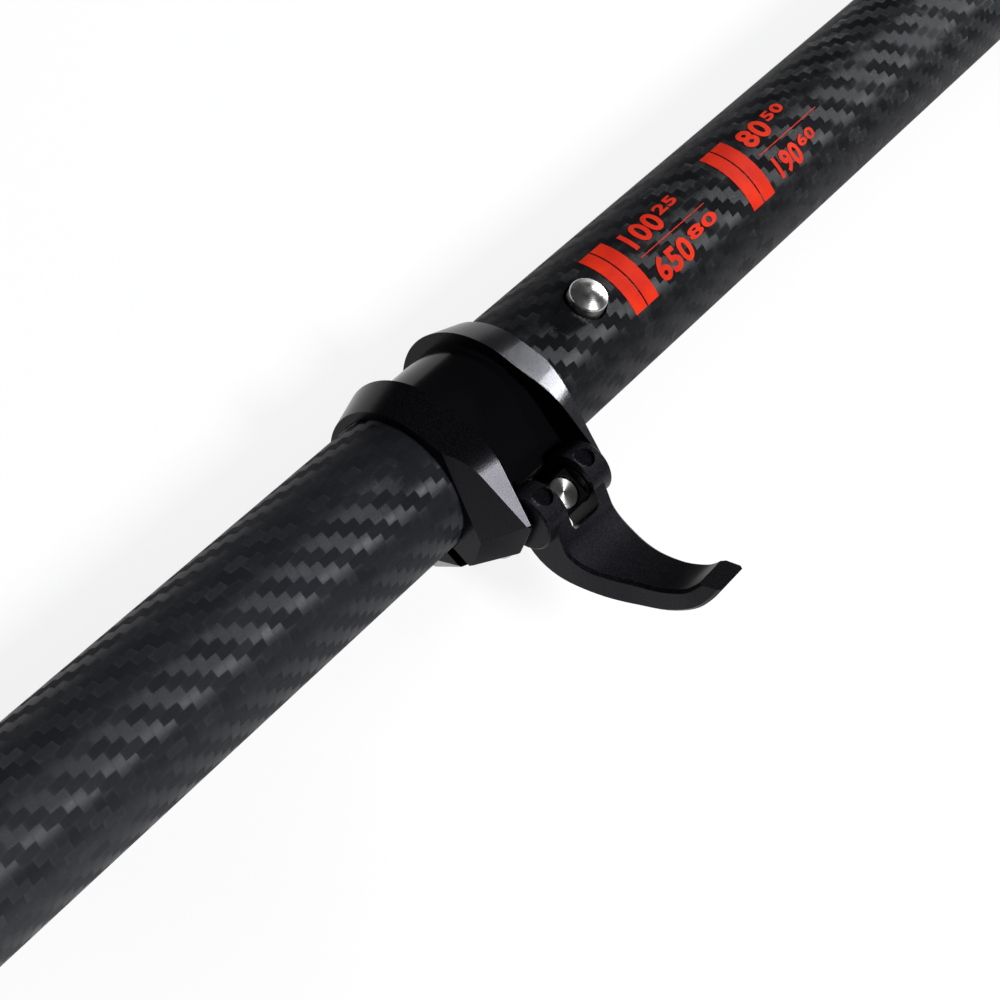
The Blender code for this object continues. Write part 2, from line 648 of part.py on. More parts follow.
# Palm grip
def grip(handle, looks):
    bar_x = GRIP_END + GRIP_DEPTH / 2
    rings = []
    for i in range(1, GRIP_RINGS):
        a = math.pi * i / GRIP_RINGS
        y = -GRIP_SPAN / 2 * math.cos(a)
        size = math.sin(a) ** GRIP_FULLNESS
        sweep = GRIP_SWEEP * math.cos(a) ** 2
        ring = []
        for k in range(SMALL_SIDES):
            b = 2 * math.pi * k / SMALL_SIDES
            high = GRIP_ABOVE if math.sin(b) > 0 else FLOOR_DROP + GRIP_FLAT
            ring.append((bar_x + sweep + GRIP_DEPTH / 2 * size * math.cos(b), y, high * size * math.sin(b)))
        rings.append(ring)
    bar = loft(rings)
    slice_off(bar, (0.0, 0.0, -FLOOR_DROP), (0.0, 0.0, -1.0))
    made = piece("palm_grip", bar, looks["grip"], handle)

    socket_r = HANDLE_R + FIT_GAP
    mouth = GRIP_X + GRIP_SOCKET
    rings = []
    for i in range(STEM_RINGS + 1):
        t = i / STEM_RINGS
        flare = t**3
        wide = socket_r + GRIP_WALL + flare * GRIP_DEPTH * STEM_SPREAD
        tall = socket_r + GRIP_WALL - flare * STEM_THINNING
        x = mouth + (bar_x - mouth) * t
        turns = [2 * math.pi * k / STEM_SIDES for k in range(STEM_SIDES)]
        rings.append([(x, wide * math.cos(b), tall * math.sin(b)) for b in turns])
    boolean(made, "palm_grip_stem", loft(rings), "UNION")
    bore = turned(((GRIP_X - SEAT_GAP, socket_r), (mouth + GRIP_SOCKET, socket_r)), TUBE_SIDES)
    boolean(made, "palm_grip_socket", bore)

    radius = HANDLE_BORE - FIT_GAP
    profile = (
        (GRIP_X + SEAT_GAP, radius),
        (GRIP_X + GRIP_SOCKET, radius),
        (GRIP_X + GRIP_SOCKET + EDGE_BREAK, radius - EDGE_BREAK),
    )
    piece("grip_insert", turned(profile, TUBE_SIDES), looks["foam"], handle)
    plug_x = GRIP_X + HANDLE_LENGTH - PLUG_LENGTH - PLUG_INSET
    plug("handle_shaft_plug", plug_x, radius, looks["foam"], handle)


clear_scene()
looks = {
    "carbon": finish("woven_carbon", (0.020, 0.021, 0.023), 0.38),
    "blade": finish("blade_carbon", (0.022, 0.023, 0.025), 0.30),
    "collar": finish("anodised_collar", (0.012, 0.012, 0.015), 0.34, 0.8),
    "lever": finish("anodised_lever", (0.020, 0.020, 0.026), 0.40, 0.8),
    "barrel": finish("black_barrel", (0.015, 0.015, 0.016), 0.35, 0.9),
    "steel": finish("polished_steel", (0.62, 0.61, 0.59), 0.18, 1.0),
    "glass_fibre": finish("ferrule_laminate", (0.030, 0.030, 0.032), 0.45),
    "foam": finish("plug_foam", (0.10, 0.10, 0.11), 0.85),
    "grip": finish("moulded_grip", (0.018, 0.018, 0.019), 0.48),
}
middle_x = (BLADE_TIP + GRIP_END) / 2
paddle = empty("paddle", None, (-middle_x, 0.0, FLOOR_DROP))
handle = empty("handle", paddle)
shafts(paddle, handle, looks)
joint_parts(paddle, looks)
blade(paddle, looks)
clamp_set("lower", 0.0, paddle, looks, 0.0)
clamp_set("upper", UPPER_CLAMP_X, paddle, looks, LEVER_SWING)
grip(handle, looks)
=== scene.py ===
"""The look of a three-piece stand-up paddle, seen closely at the joint between its middle tube and its
blade section, where the quick-release lever stands open. Metres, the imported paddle's own frame."""

import json
import math

import bmesh
import bpy
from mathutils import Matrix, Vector

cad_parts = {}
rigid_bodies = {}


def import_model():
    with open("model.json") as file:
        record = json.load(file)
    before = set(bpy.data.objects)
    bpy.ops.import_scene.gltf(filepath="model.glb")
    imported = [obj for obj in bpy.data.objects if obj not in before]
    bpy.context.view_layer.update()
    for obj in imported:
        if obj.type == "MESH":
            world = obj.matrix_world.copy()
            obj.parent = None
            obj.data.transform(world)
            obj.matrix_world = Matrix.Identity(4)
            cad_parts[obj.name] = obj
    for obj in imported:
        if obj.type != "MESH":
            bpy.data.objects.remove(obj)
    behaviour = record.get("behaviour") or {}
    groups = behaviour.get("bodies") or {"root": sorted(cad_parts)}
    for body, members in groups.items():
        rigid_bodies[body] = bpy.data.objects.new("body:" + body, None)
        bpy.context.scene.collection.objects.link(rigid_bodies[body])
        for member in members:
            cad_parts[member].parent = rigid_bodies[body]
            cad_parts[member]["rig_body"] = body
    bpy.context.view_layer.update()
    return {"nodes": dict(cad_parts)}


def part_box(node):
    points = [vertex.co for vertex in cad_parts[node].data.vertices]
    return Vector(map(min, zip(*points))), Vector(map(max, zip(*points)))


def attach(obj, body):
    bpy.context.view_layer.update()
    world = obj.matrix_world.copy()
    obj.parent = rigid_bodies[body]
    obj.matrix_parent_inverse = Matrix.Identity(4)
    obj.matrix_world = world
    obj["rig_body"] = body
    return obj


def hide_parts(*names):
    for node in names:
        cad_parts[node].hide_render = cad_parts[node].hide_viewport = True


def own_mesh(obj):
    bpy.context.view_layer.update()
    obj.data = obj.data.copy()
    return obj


for thing in list(bpy.data.objects):
    bpy.data.objects.remove(thing)
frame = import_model()


# Middle tube. Carbon cloth in a two-and-two twill, rolled on a mandrel with its tows lying along
# and round the tube, then rubbed down to a satin skin. The joint ferrule is glued in its blade end
# and the handle tube slides in the other.
MM = 0.001
tube_low, tube_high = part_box("middle_shaft")
TUBE_RADIUS = (tube_high.y - tube_low.y) / 2
SHAFT_HEIGHT = (tube_high.z + tube_low.z) / 2
SHAFT_CENTRE = (0, 0, SHAFT_HEIGHT)
SHAFT_LIE = (1, 0, 0)
CORNER_WELD = 0.001 * MM
ROUND_FACET_LIMIT = 0.06

TOWS_AROUND = 52
TOW_LENGTHWISE = 2.2 * MM
TWILL_REPEAT = 4.0
FLOAT_TOWS = 2.0
TOW_WANDER = 0.12
WANDER_BLOTCH = 9 * MM
FLOAT_END_CURVE = 0.5
FLOAT_SIDE_CURVE = 0.35
FIBRE = 0.35 * MM
FIBRE_STRETCH = (0.25, 1, 1)
FIBRE_RISE = 0.12
CRIMP_DEPTH = 0.03 * MM
CRIMP_STRENGTH = 0.18
RESIN_POOL = 5 * MM
POOL_SHORE = (0.40, 0.58)
POOL_HIDES = 0.85

# Nearly all of the cloudy noise lies in the range, and most of it in the core.
NOISE_RANGE = (0.3, 0.7)
NOISE_CORE = (0.35, 0.65)

# Dulling is added to the roughness of the skin, and polish is taken from it.
# The first black is the colour of the darker tows and of the painted shade in the gaps between floats;
# the second is the tows' own.
DARK_TOW_AND_GAP_SHADE = (0.0135, 0.0142, 0.0178)
THREAD_BLACK = (0.0180, 0.0190, 0.0235)
COOL_GLINT = (0.95, 0.96, 1.0, 1.0)
RESIN_IOR = 1.50
TOW_DULLING = 0.20
HOOP_DULLING = 0.10
GAP_HEIGHT = (0.3, 0.7)
GAP_DULLING = 0.15
FIBRE_DULLING = 0.16
POOL_POLISH = 0.08


def fresh_copy(node, name):
    """A piece with the shape of a node, its corners joined, that stands where the node stands."""
    mesh = bpy.data.meshes.new(name)
    shape = bmesh.new()
    shape.from_mesh(frame["nodes"][node].data)
    bmesh.ops.remove_doubles(shape, verts=shape.verts, dist=CORNER_WELD)
    shape.to_mesh(mesh)
    shape.free()
    old_shading = ("custom_normal", "sharp_edge", "sharp_face")
    for layer in [layer.name for layer in mesh.attributes if layer.name in old_shading]:
        mesh.attributes.remove(mesh.attributes[layer])
    piece = bpy.data.objects.new(name, mesh)
    bpy.context.scene.collection.objects.link(piece)
    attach(piece, frame["nodes"][node]["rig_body"])
    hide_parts(node)
    return piece


def shade_turned(piece, point, axis):
    """Faces turned about an axis are shaded as the true round; all others stay flat."""
    axis = Vector(axis).normalized()
    mesh = piece.data
    normals = [Vector(face.normal) for face in mesh.polygons for _ in face.loop_indices]
    for face in mesh.polygons:
        out = face.center - Vector(point)
        out = (out - axis * out.dot(axis)).normalized()
        sideways = face.normal.dot(axis.cross(out))
        rise = face.normal.dot(out)
        along = face.normal.dot(axis)
        if abs(sideways) > ROUND_FACET_LIMIT or abs(rise) < ROUND_FACET_LIMIT:
            continue
        for loop in face.loop_indices:
            arm = mesh.vertices[mesh.loops[loop].vertex_index].co - Vector(point)
            arm = (arm - axis * arm.dot(axis)).normalized()
            normals[loop] = (arm * rise + axis * along).normalized()
    for face in mesh.polygons:
        face.use_smooth = True
    mesh.normals_split_custom_set(normals)
    return piece


def dress(piece, look):
    """Gives a piece this finish and no other."""
    piece.data.materials.clear()
    piece.data.materials.append(look)


class Nodes:
    """A material's node tree, written as sums."""

    # For each kind of Mix node, the sockets of the first value, the second and the result.
    MIX_SOCKETS = {"FLOAT": (2, 3, 0), "VECTOR": (4, 5, 1), "RGBA": (6, 7, 2)}

    def __init__(self, name):
        self.material = bpy.data.materials.new(name)
        self.material.use_nodes = True
        self.tree = self.material.node_tree
        self.skin = self.tree.nodes["Principled BSDF"]

    def add(self, kind, **settings):
        """A new shader node with these settings."""
        node = self.tree.nodes.new("ShaderNode" + kind)
        for key, value in settings.items():
            setattr(node, key, value)
        return node

    def put(self, value, socket):
        """Feeds a socket from another node, or sets it to a plain value."""
        if isinstance(value, bpy.types.NodeSocket):
            self.tree.links.new(value, socket)
        else:
            socket.default_value = value

    def math(self, operation, *values):
        """One sum on numbers."""
        node = self.add("Math", operation=operation)
        for value, socket in zip(values, node.inputs):
            self.put(value, socket)
        return node.outputs[0]

    def plus(self, total, *others):
        for value in others:
            total = self.math("ADD", total, value)
        return total

    def minus(self, first, second):
        return self.math("SUBTRACT", first, second)

    def times(self, first, second):
        return self.math("MULTIPLY", first, second)

    def aim(self, operation, first, second):
        """One sum on two directions."""
        node = self.add("VectorMath", operation=operation)
        self.put(first, node.inputs[0])
        self.put(second, node.inputs[1])
        return node.outputs[0]

    def spot(self):
        """The point of the piece that is being coloured, in metres."""
        return self.add("TexCoord").outputs["Object"]

    def place(self):
        """The three coordinates of that point."""
        split = self.add("SeparateXYZ")
        self.put(self.spot(), split.inputs[0])
        return split.outputs[:3]

    def noise(self, size, detail=2.0, stretch=(1, 1, 1)):
        """Cloudy noise whose blotches are about `size` across, from 0 to 1."""
        mapping = self.add("Mapping")
        mapping.inputs["Scale"].default_value = stretch
        self.put(self.spot(), mapping.inputs[0])
        node = self.add("TexNoise")
        self.put(mapping.outputs[0], node.inputs["Vector"])
        node.inputs["Scale"].default_value = 1 / size
        node.inputs["Detail"].default_value = detail
        return node.outputs["Fac"]

    def span(self, value, low, high, start=0.0, end=1.0, smooth=False):
        """`value` from low to high becomes start to end, and no more."""
        node = self.add("MapRange", interpolation_type="SMOOTHSTEP" if smooth else "LINEAR")
        for number, socket in zip((value, low, high, start, end), node.inputs):
            self.put(number, socket)
        return node.outputs[0]

    def mix(self, kind, share, first, second):
        """The first of two numbers, directions or colours where the share is 0, the second at 1."""
        node = self.add("Mix", data_type=kind)
        first_socket, second_socket, result = self.MIX_SOCKETS[kind]
        self.put(share, node.inputs[0])
        self.put(first, node.inputs[first_socket])
        self.put(second, node.inputs[second_socket])
        return node.outputs[result]

    def blend(self, share, *colours):
        """A colour from the first to the second of two."""
        ready = [
            colour if isinstance(colour, bpy.types.NodeSocket) else (*colour, 1.0) for colour in colours
        ]
        return self.mix("RGBA", share, *ready)

    def relief(self, height, depth, strength):
        """A bump of that depth in metres."""
        node = self.add("Bump")
        node.inputs["Strength"].default_value = strength
        node.inputs["Distance"].default_value = depth
        self.put(height, node.inputs["Height"])
        self.put(node.outputs[0], self.skin.inputs["Normal"])

    def look(self, **sockets):
        """The finished material; an underscore stands for the space in a socket's name."""
        for key, value in sockets.items():
            self.put(value, self.skin.inputs[key.replace("_", " ")])
        return self.material


def twill(nodes, lengthwise, around):
    """Two-and-two twill from two counts of tows: a mask of the tows that lie across on top, the height
    of the cloth, and one number for each float."""
    column = nodes.math("FLOOR", lengthwise)
    row = nodes.math("FLOOR", around)
    in_column = nodes.math("FRACT", lengthwise)
    in_row = nodes.math("FRACT", around)
    step = nodes.math("FLOORED_MODULO", nodes.minus(column, row), TWILL_REPEAT)
    across = nodes.math("GREATER_THAN", step, FLOAT_TOWS - 0.5)
    steps_back = nodes.minus(TWILL_REPEAT - 1, step)
    along_float = nodes.times(nodes.plus(step, in_column), 1 / FLOAT_TOWS)
    across_float = nodes.times(nodes.plus(steps_back, in_row), 1 / FLOAT_TOWS)

    def pillow(length, width):
        """Height of one float: round over its width, dipping under its neighbours at both ends."""
        ends = nodes.math("SINE", nodes.times(length, math.pi))
        sides = nodes.math("SINE", nodes.times(width, math.pi))
        return nodes.times(
            nodes.math("POWER", ends, FLOAT_END_CURVE),
            nodes.math("POWER", sides, FLOAT_SIDE_CURVE),
        )

    height = nodes.mix("FLOAT", across, pillow(along_float, in_row), pillow(across_float, in_column))
    lies_along = nodes.minus(1.0, across)
    start = nodes.add("CombineXYZ")
    nodes.put(nodes.minus(column, nodes.times(step, lies_along)), start.inputs[0])
    nodes.put(nodes.minus(row, nodes.times(steps_back, across)), start.inputs[1])
    nodes.put(across, start.inputs[2])
    lot = nodes.add("TexWhiteNoise", noise_dimensions="3D")
    nodes.put(start.outputs[0], lot.inputs[0])
    return across, height, lot.outputs["Value"]


def woven_tube(name, patchiness, tone, dullness):
    """Satin twill laid round the shaft's axis. Each tow shines across its fibres, as thread does, so
    the tows that lie round the tube light up in a band where those that lie along it stay dark."""
    nodes = Nodes(name)
    x, y, z = nodes.place()
    up = nodes.minus(z, SHAFT_HEIGHT)
    turn = nodes.math("ARCTAN2", nodes.times(y, -1.0), up)
    wander = nodes.span(nodes.noise(WANDER_BLOTCH), *NOISE_RANGE, -TOW_WANDER, TOW_WANDER)
    lengthwise = nodes.plus(nodes.math("DIVIDE", x, TOW_LENGTHWISE), wander)
    around = nodes.plus(nodes.times(turn, TOWS_AROUND / math.tau), wander)
    across, height, lot = twill(nodes, lengthwise, around)

    pools = nodes.span(nodes.noise(RESIN_POOL, detail=3.0), *POOL_SHORE, smooth=True)
    pools = nodes.times(pools, patchiness)
    bare = nodes.minus(1.0, nodes.times(pools, POOL_HIDES))
    fibres = nodes.noise(FIBRE, stretch=FIBRE_STRETCH)
    # Tows differ in tone at random, and each float is drawn darker towards its ends and sides, where it
    # dips under its neighbours: that darkening is painted shade in the gaps between floats.
    dark_tow_and_gap_shade = [tone * part for part in DARK_TOW_AND_GAP_SHADE]
    thread = [tone * part for part in THREAD_BLACK]

    own = nodes.span(nodes.times(lot, bare), 0.0, 1.0, dullness, dullness + TOW_DULLING)
    gaps = nodes.times(nodes.span(height, *GAP_HEIGHT, GAP_DULLING, 0.0), bare)
    rough = nodes.plus(
        own,
        nodes.times(pools, -POOL_POLISH),
        nodes.times(across, HOOP_DULLING * patchiness),
        gaps,
        nodes.times(fibres, FIBRE_DULLING),
    )

    hoop = nodes.add("CombineXYZ")
    nodes.put(nodes.times(up, -1.0), hoop.inputs[1])
    nodes.put(y, hoop.inputs[2])
    comb = nodes.mix("VECTOR", across, hoop.outputs[0], (TUBE_RADIUS, 0, 0))
    nodes.put(comb, nodes.skin.inputs["Tangent"])
    crimp = nodes.times(nodes.plus(height, nodes.times(fibres, FIBRE_RISE)), bare)
    nodes.relief(crimp, CRIMP_DEPTH, CRIMP_STRENGTH)
    return nodes.look(
        Base_Color=nodes.blend(nodes.times(lot, height), dark_tow_and_gap_shade, thread),
        Roughness=rough,
        IOR=RESIN_IOR,
        Anisotropic=1.0,
        Specular_Tint=COOL_GLINT,
    )


tube_cloth = woven_tube("satin_twill_carbon", patchiness=0.25, tone=0.8, dullness=0.40)
middle_tube = shade_turned(fresh_copy("middle_shaft", "middle_tube"), SHAFT_CENTRE, SHAFT_LIE)
dress(middle_tube, tube_cloth)


# Joint ferrule and the foam plugs. The ferrule is a dull glass-and-carbon tube that is wound, not
# woven, so its threads cross in long spirals. The plugs are cut from closed-cell foam: three keep
# the water out of the ferrule, the blade tube and the handle tube, and one carries the grip.
WINDING_PITCH = 1.1 * MM
WINDING_DEPTH = 0.03 * MM
WINDING_STRENGTH = 0.5
WINDING_BLOTCH = 6 * MM
WINDING_FADE = 0.5
WOUND_DARK = (0.010, 0.011, 0.010)
WOUND_PALE = (0.035, 0.036, 0.032)
WOUND_ROUGH = (0.62, 0.45)
FOAM_CELL = 0.8 * MM
CELL_WALL = 0.12
CELL_DEPTH = 0.08 * MM
CELL_STRENGTH = 0.6
FOAM_BLOTCH = 5 * MM
FOAM_FADE = 0.75
FOAM_SHADE = (0.16, 0.15, 0.13)
FOAM_PALE = (0.42, 0.40, 0.36)
FOAM_ROUGH = (0.7, 0.9)


def wound_laminate():
    """Threads wound in two crossing spirals under dull resin."""
    nodes = Nodes("wound_laminate")
    x, y, z = nodes.place()
    turn = nodes.math("ARCTAN2", nodes.times(y, -1.0), nodes.minus(z, SHAFT_HEIGHT))
    arc = nodes.times(turn, TUBE_RADIUS)
    threads = []
    for hand in (1.0, -1.0):
        slant = nodes.plus(x, nodes.times(arc, hand))
        threads.append(nodes.math("SINE", nodes.times(slant, math.tau / WINDING_PITCH)))
    weave = nodes.span(nodes.math("MAXIMUM", *threads), -1.0, 1.0)
    tone = nodes.times(weave, nodes.span(nodes.noise(WINDING_BLOTCH), *NOISE_RANGE, WINDING_FADE, 1.0))
    nodes.relief(weave, WINDING_DEPTH, WINDING_STRENGTH)
    return nodes.look(
        Base_Color=nodes.blend(tone, WOUND_DARK, WOUND_PALE),
        Roughness=nodes.span(tone, 0.0, 1.0, *WOUND_ROUGH),
        IOR=RESIN_IOR,
    )


def closed_cell_foam():
    """Pale foam with fine cells, darker and a little lower along their walls."""
    nodes = Nodes("closed_cell_foam")
    cells = nodes.add("TexVoronoi", feature="DISTANCE_TO_EDGE")
    nodes.put(nodes.spot(), cells.inputs["Vector"])
    cells.inputs["Scale"].default_value = 1 / FOAM_CELL
    cell = nodes.span(cells.outputs["Distance"], 0.0, CELL_WALL)
    tone = nodes.times(cell, nodes.span(nodes.noise(FOAM_BLOTCH), *NOISE_RANGE, FOAM_FADE, 1.0))
    nodes.relief(cell, CELL_DEPTH, CELL_STRENGTH)
    return nodes.look(
        Base_Color=nodes.blend(tone, FOAM_SHADE, FOAM_PALE),
        Roughness=nodes.span(cell, 0.0, 1.0, *FOAM_ROUGH),
    )


frame["nodes"]["joint_ferrule"].material_slots[0].material = wound_laminate()
plug_foam = closed_cell_foam()
for plug in ("ferrule_plug", "blade_shaft_plug", "handle_shaft_plug", "grip_insert"):
    frame["nodes"][plug].material_slots[0].material = plug_foam


# Blade tube. The same cloth from another batch, whose resin has pooled in patches; its end slides
# over the ferrule, and a drilled hole in it takes the snap button.
blade_cloth = woven_tube("patchy_twill_carbon", patchiness=1.0, tone=0.3, dullness=0.44)
blade_tube = shade_turned(fresh_copy("blade_shaft", "blade_tube"), SHAFT_CENTRE, SHAFT_LIE)
dress(blade_tube, blade_cloth)


# Print on the blade tube. Red ink is pulled through a screen: two bands, and after each of them two
# rows of plain bold numerals with a thin rule between. The ink stands a few hundredths proud.
CLAMP_TURN = math.radians(13)
collar_low, collar_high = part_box("lower_clamp_collar")
clamp_x = (collar_low.x + collar_high.x) / 2
INK_THICK = 0.03 * MM
INK_LIFT = 0.01 * MM
INK_BEND_STEP = 0.5 * MM
NUMERAL_BOLDNESS = 0.035
NUMERAL_SPACING = 1.08
NUMERAL_CURVE_STEPS = 6
NUMERAL_WELD = 0.0005
SCREEN_DIMPLE = 0.30 * MM
DIMPLE_DEPTH = 0.012 * MM
DIMPLE_STRENGTH = 0.5
PINHOLE_EDGE = (0.25, 0.36)
PINHOLE_SHARE = 0.6
INK_BLOTCH = 6 * MM
DEEP_RED = (0.52, 0.015, 0.004)
FULL_RED = (0.66, 0.026, 0.005)
PINHOLE_RED = (0.05, 0.010, 0.010)
INK_ROUGH = (0.55, 0.65)
INK_IOR = 1.12


def print_on_tube(name, flat):
    """Bends a flat drawing, x along the shaft from the clamp and y round it, on to the blade tube."""
    for k in range(int(-TUBE_RADIUS / INK_BEND_STEP), int(TUBE_RADIUS / INK_BEND_STEP)):
        bmesh.ops.bisect_plane(
            flat,
            geom=flat.verts[:] + flat.edges[:] + flat.faces[:],
            plane_co=(0, k * INK_BEND_STEP, 0),
            plane_no=(0, 1, 0),
        )
    radius = TUBE_RADIUS + INK_LIFT
    for vert in flat.verts:
        turn = CLAMP_TURN - vert.co.y / TUBE_RADIUS
        x = clamp_x + vert.co.x
        vert.co = (x, -radius * math.sin(turn), SHAFT_HEIGHT + radius * math.cos(turn))
    bmesh.ops.recalc_face_normals(flat, faces=flat.faces)
    mesh = bpy.data.meshes.new(name)
    flat.to_mesh(mesh)
    flat.free()
    if sum(face.normal.z for face in mesh.polygons) < 0:
        mesh.flip_normals()
    mesh.polygons.foreach_set("use_smooth", [False] * len(mesh.polygons))
    mesh.materials.append(screen_ink)
    piece = bpy.data.objects.new(name, mesh)
    bpy.context.scene.collection.objects.link(piece)
    film = piece.modifiers.new("ink_film", "SOLIDIFY")
    film.thickness = INK_THICK
    film.offset = 1.0
    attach(piece, frame["nodes"]["blade_shaft"]["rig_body"])


def panel(start, end, low, high):
    """A plain four-cornered field of ink, all four in metres."""
    flat = bmesh.new()
    corners = ((start, low), (end, low), (end, high), (start, high))
    flat.faces.new([flat.verts.new((x, y, 0)) for x, y in corners])
    return flat


def numerals(text, start, end, low, high):
    """Bold numerals that fill the given field."""
    line = bpy.data.curves.new("line", "FONT")
    line.body = text
    line.offset = NUMERAL_BOLDNESS
    line.space_character = NUMERAL_SPACING
    line.resolution_u = NUMERAL_CURVE_STEPS
    holder = bpy.data.objects.new("line", line)
    flat = bmesh.new()
    drawn = bpy.data.meshes.new_from_object(holder)
    flat.from_mesh(drawn)
    bpy.data.objects.remove(holder)
    bpy.data.meshes.remove(drawn)
    bmesh.ops.remove_doubles(flat, verts=flat.verts, dist=NUMERAL_WELD)
    xs = [vert.co.x for vert in flat.verts]
    ys = [vert.co.y for vert in flat.verts]
    for vert in flat.verts:
        vert.co.x = start + (end - start) * (vert.co.x - min(xs)) / (max(xs) - min(xs))
        vert.co.y = low + (high - low) * (vert.co.y - min(ys)) / (max(ys) - min(ys))
    return flat


def red_screen_ink():
    """Matt red ink with the faint dimples of the screen and small pinholes."""
    nodes = Nodes("red_screen_ink")
    film = nodes.noise(SCREEN_DIMPLE)
    tone = nodes.span(nodes.noise(INK_BLOTCH), *NOISE_CORE)
    full = nodes.blend(tone, DEEP_RED, FULL_RED)
    pinholes = nodes.span(film, *PINHOLE_EDGE, PINHOLE_SHARE, 0.0)
    nodes.relief(film, DIMPLE_DEPTH, DIMPLE_STRENGTH)
    return nodes.look(
        Base_Color=nodes.blend(pinholes, full, PINHOLE_RED),
        Roughness=nodes.span(film, *NOISE_RANGE, *INK_ROUGH),
        IOR=INK_IOR,
    )


# Each line gives start and end along the shaft from the clamp, then low and high round it, in mm.
screen_ink = red_screen_ink()
for name, start, end, low, high in (
    ("band_near_inner", 42.4, 45.9, -5.5, 10.6),
    ("band_near_outer", 46.3, 49.9, -5.5, 10.6),
    ("band_far_inner", 84.0, 87.6, -5.8, 10.2),
    ("band_far_outer", 88.0, 91.8, -5.8, 10.2),
    ("rule_near", 52.1, 74.1, 2.27, 2.45),
    ("rule_far", 94.3, 116.0, 1.97, 2.15),
):
    print_on_tube(name, panel(start * MM, end * MM, low * MM, high * MM))
for name, text, start, end, low, high in (
    ("numerals_near_upper", "100", 52.9, 63.5, 4.0, 9.1),
    ("numerals_near_upper_small", "25", 64.2, 70.6, 6.3, 8.9),
    ("numerals_near_lower", "650", 52.9, 64.2, -4.6, 0.6),
    ("numerals_near_lower_small", "80", 65.0, 74.4, -2.0, 0.5),
    ("numerals_far_upper", "80", 94.3, 103.0, 4.0, 9.1),
    ("numerals_far_upper_small", "50", 104.0, 110.5, 6.3, 8.9),
    ("numerals_far_lower", "190", 95.8, 104.4, -4.9, 0.1),
    ("numerals_far_lower_small", "60", 105.1, 110.9, -2.4, 0.1),
):
    print_on_tube(name, numerals(text, start * MM, end * MM, low * MM, high * MM))


# Snap button and its leaf spring. The button is turned from stainless bar and polished, with a
# domed crown that a thumb pushes in; the folded strip behind it stands it up through the tube's hole.
button_low, button_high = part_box("snap_button")
BUTTON_RADIUS = 3.9 * MM
BUTTON_CROWN = 1.6 * MM
BUTTON_EDGE = 0.7 * MM
EDGE_SQUASH = 0.9
BUTTON_FLANGE_THICK = 1.2 * MM
ROUND_SIDES = 96
EDGE_STEPS = 6
CROWN_STEPS = 14
TURNED_CREASE = math.radians(40)
STEEL_DARK = (0.50, 0.49, 0.48)
STEEL_PALE = (0.66, 0.65, 0.63)
RING_DEPTH = 0.004 * MM
RING_STRENGTH = 0.5
RING_WOBBLE = 0.3
WOBBLE_BLOTCH = 1.2 * MM
SMUDGE = 1.6 * MM
SMUDGE_DULLING = 0.08


def turn_profile(name, profile, centre):
    """A piece turned about an upright axis through centre from a row of (radius, height)."""
    shape = bmesh.new()
    rings = []
    for radius, height in profile:
        if radius == 0:
            rings.append([shape.verts.new((centre[0], centre[1], height))])
            continue
        ring = []
        for k in range(ROUND_SIDES):
            turn = math.tau * k / ROUND_SIDES
            x = centre[0] + radius * math.cos(turn)
            y = centre[1] + radius * math.sin(turn)
            ring.append(shape.verts.new((x, y, height)))
        rings.append(ring)
    for lower, upper in zip(rings, rings[1:]):
        for k in range(ROUND_SIDES):
            n = (k + 1) % ROUND_SIDES
            corners = [lower[k % len(lower)], lower[n % len(lower)]]
            corners += [upper[n % len(upper)], upper[k % len(upper)]]
            shape.faces.new(list(dict.fromkeys(corners)))
    bmesh.ops.recalc_face_normals(shape, faces=shape.faces)
    mesh = bpy.data.meshes.new(name)
    shape.to_mesh(mesh)
    shape.free()
    mesh.polygons.foreach_set("use_smooth", [True] * len(mesh.polygons))
    mesh.set_sharp_from_angle(angle=TURNED_CREASE)
    piece = bpy.data.objects.new(name, mesh)
    bpy.context.scene.collection.objects.link(piece)
    return piece


def turned_steel(name, centre, axis, ring, roughness, combed):
    """Steel faced on a lathe: fine rings about the axis through centre."""
    nodes = Nodes(name)
    around = nodes.aim("CROSS_PRODUCT", nodes.aim("SUBTRACT", nodes.spot(), centre), axis)
    reach = nodes.add("VectorMath", operation="LENGTH")
    nodes.put(around, reach.inputs[0])
    rounds = nodes.times(reach.outputs["Value"], math.tau / ring)
    wobble = nodes.times(nodes.noise(WOBBLE_BLOTCH), RING_WOBBLE)
    rings = nodes.math("SINE", nodes.plus(rounds, wobble))
    smudge = nodes.span(nodes.noise(SMUDGE, detail=3.0), *NOISE_RANGE)
    nodes.put(nodes.aim("CROSS_PRODUCT", axis, around), nodes.skin.inputs["Tangent"])
    nodes.relief(rings, RING_DEPTH, RING_STRENGTH)
    return nodes.look(
        Base_Color=nodes.blend(smudge, STEEL_DARK, STEEL_PALE),
        Metallic=1.0,
        Roughness=nodes.span(smudge, 0.0, 1.0, roughness, roughness + SMUDGE_DULLING),
        Anisotropic=combed,
    )


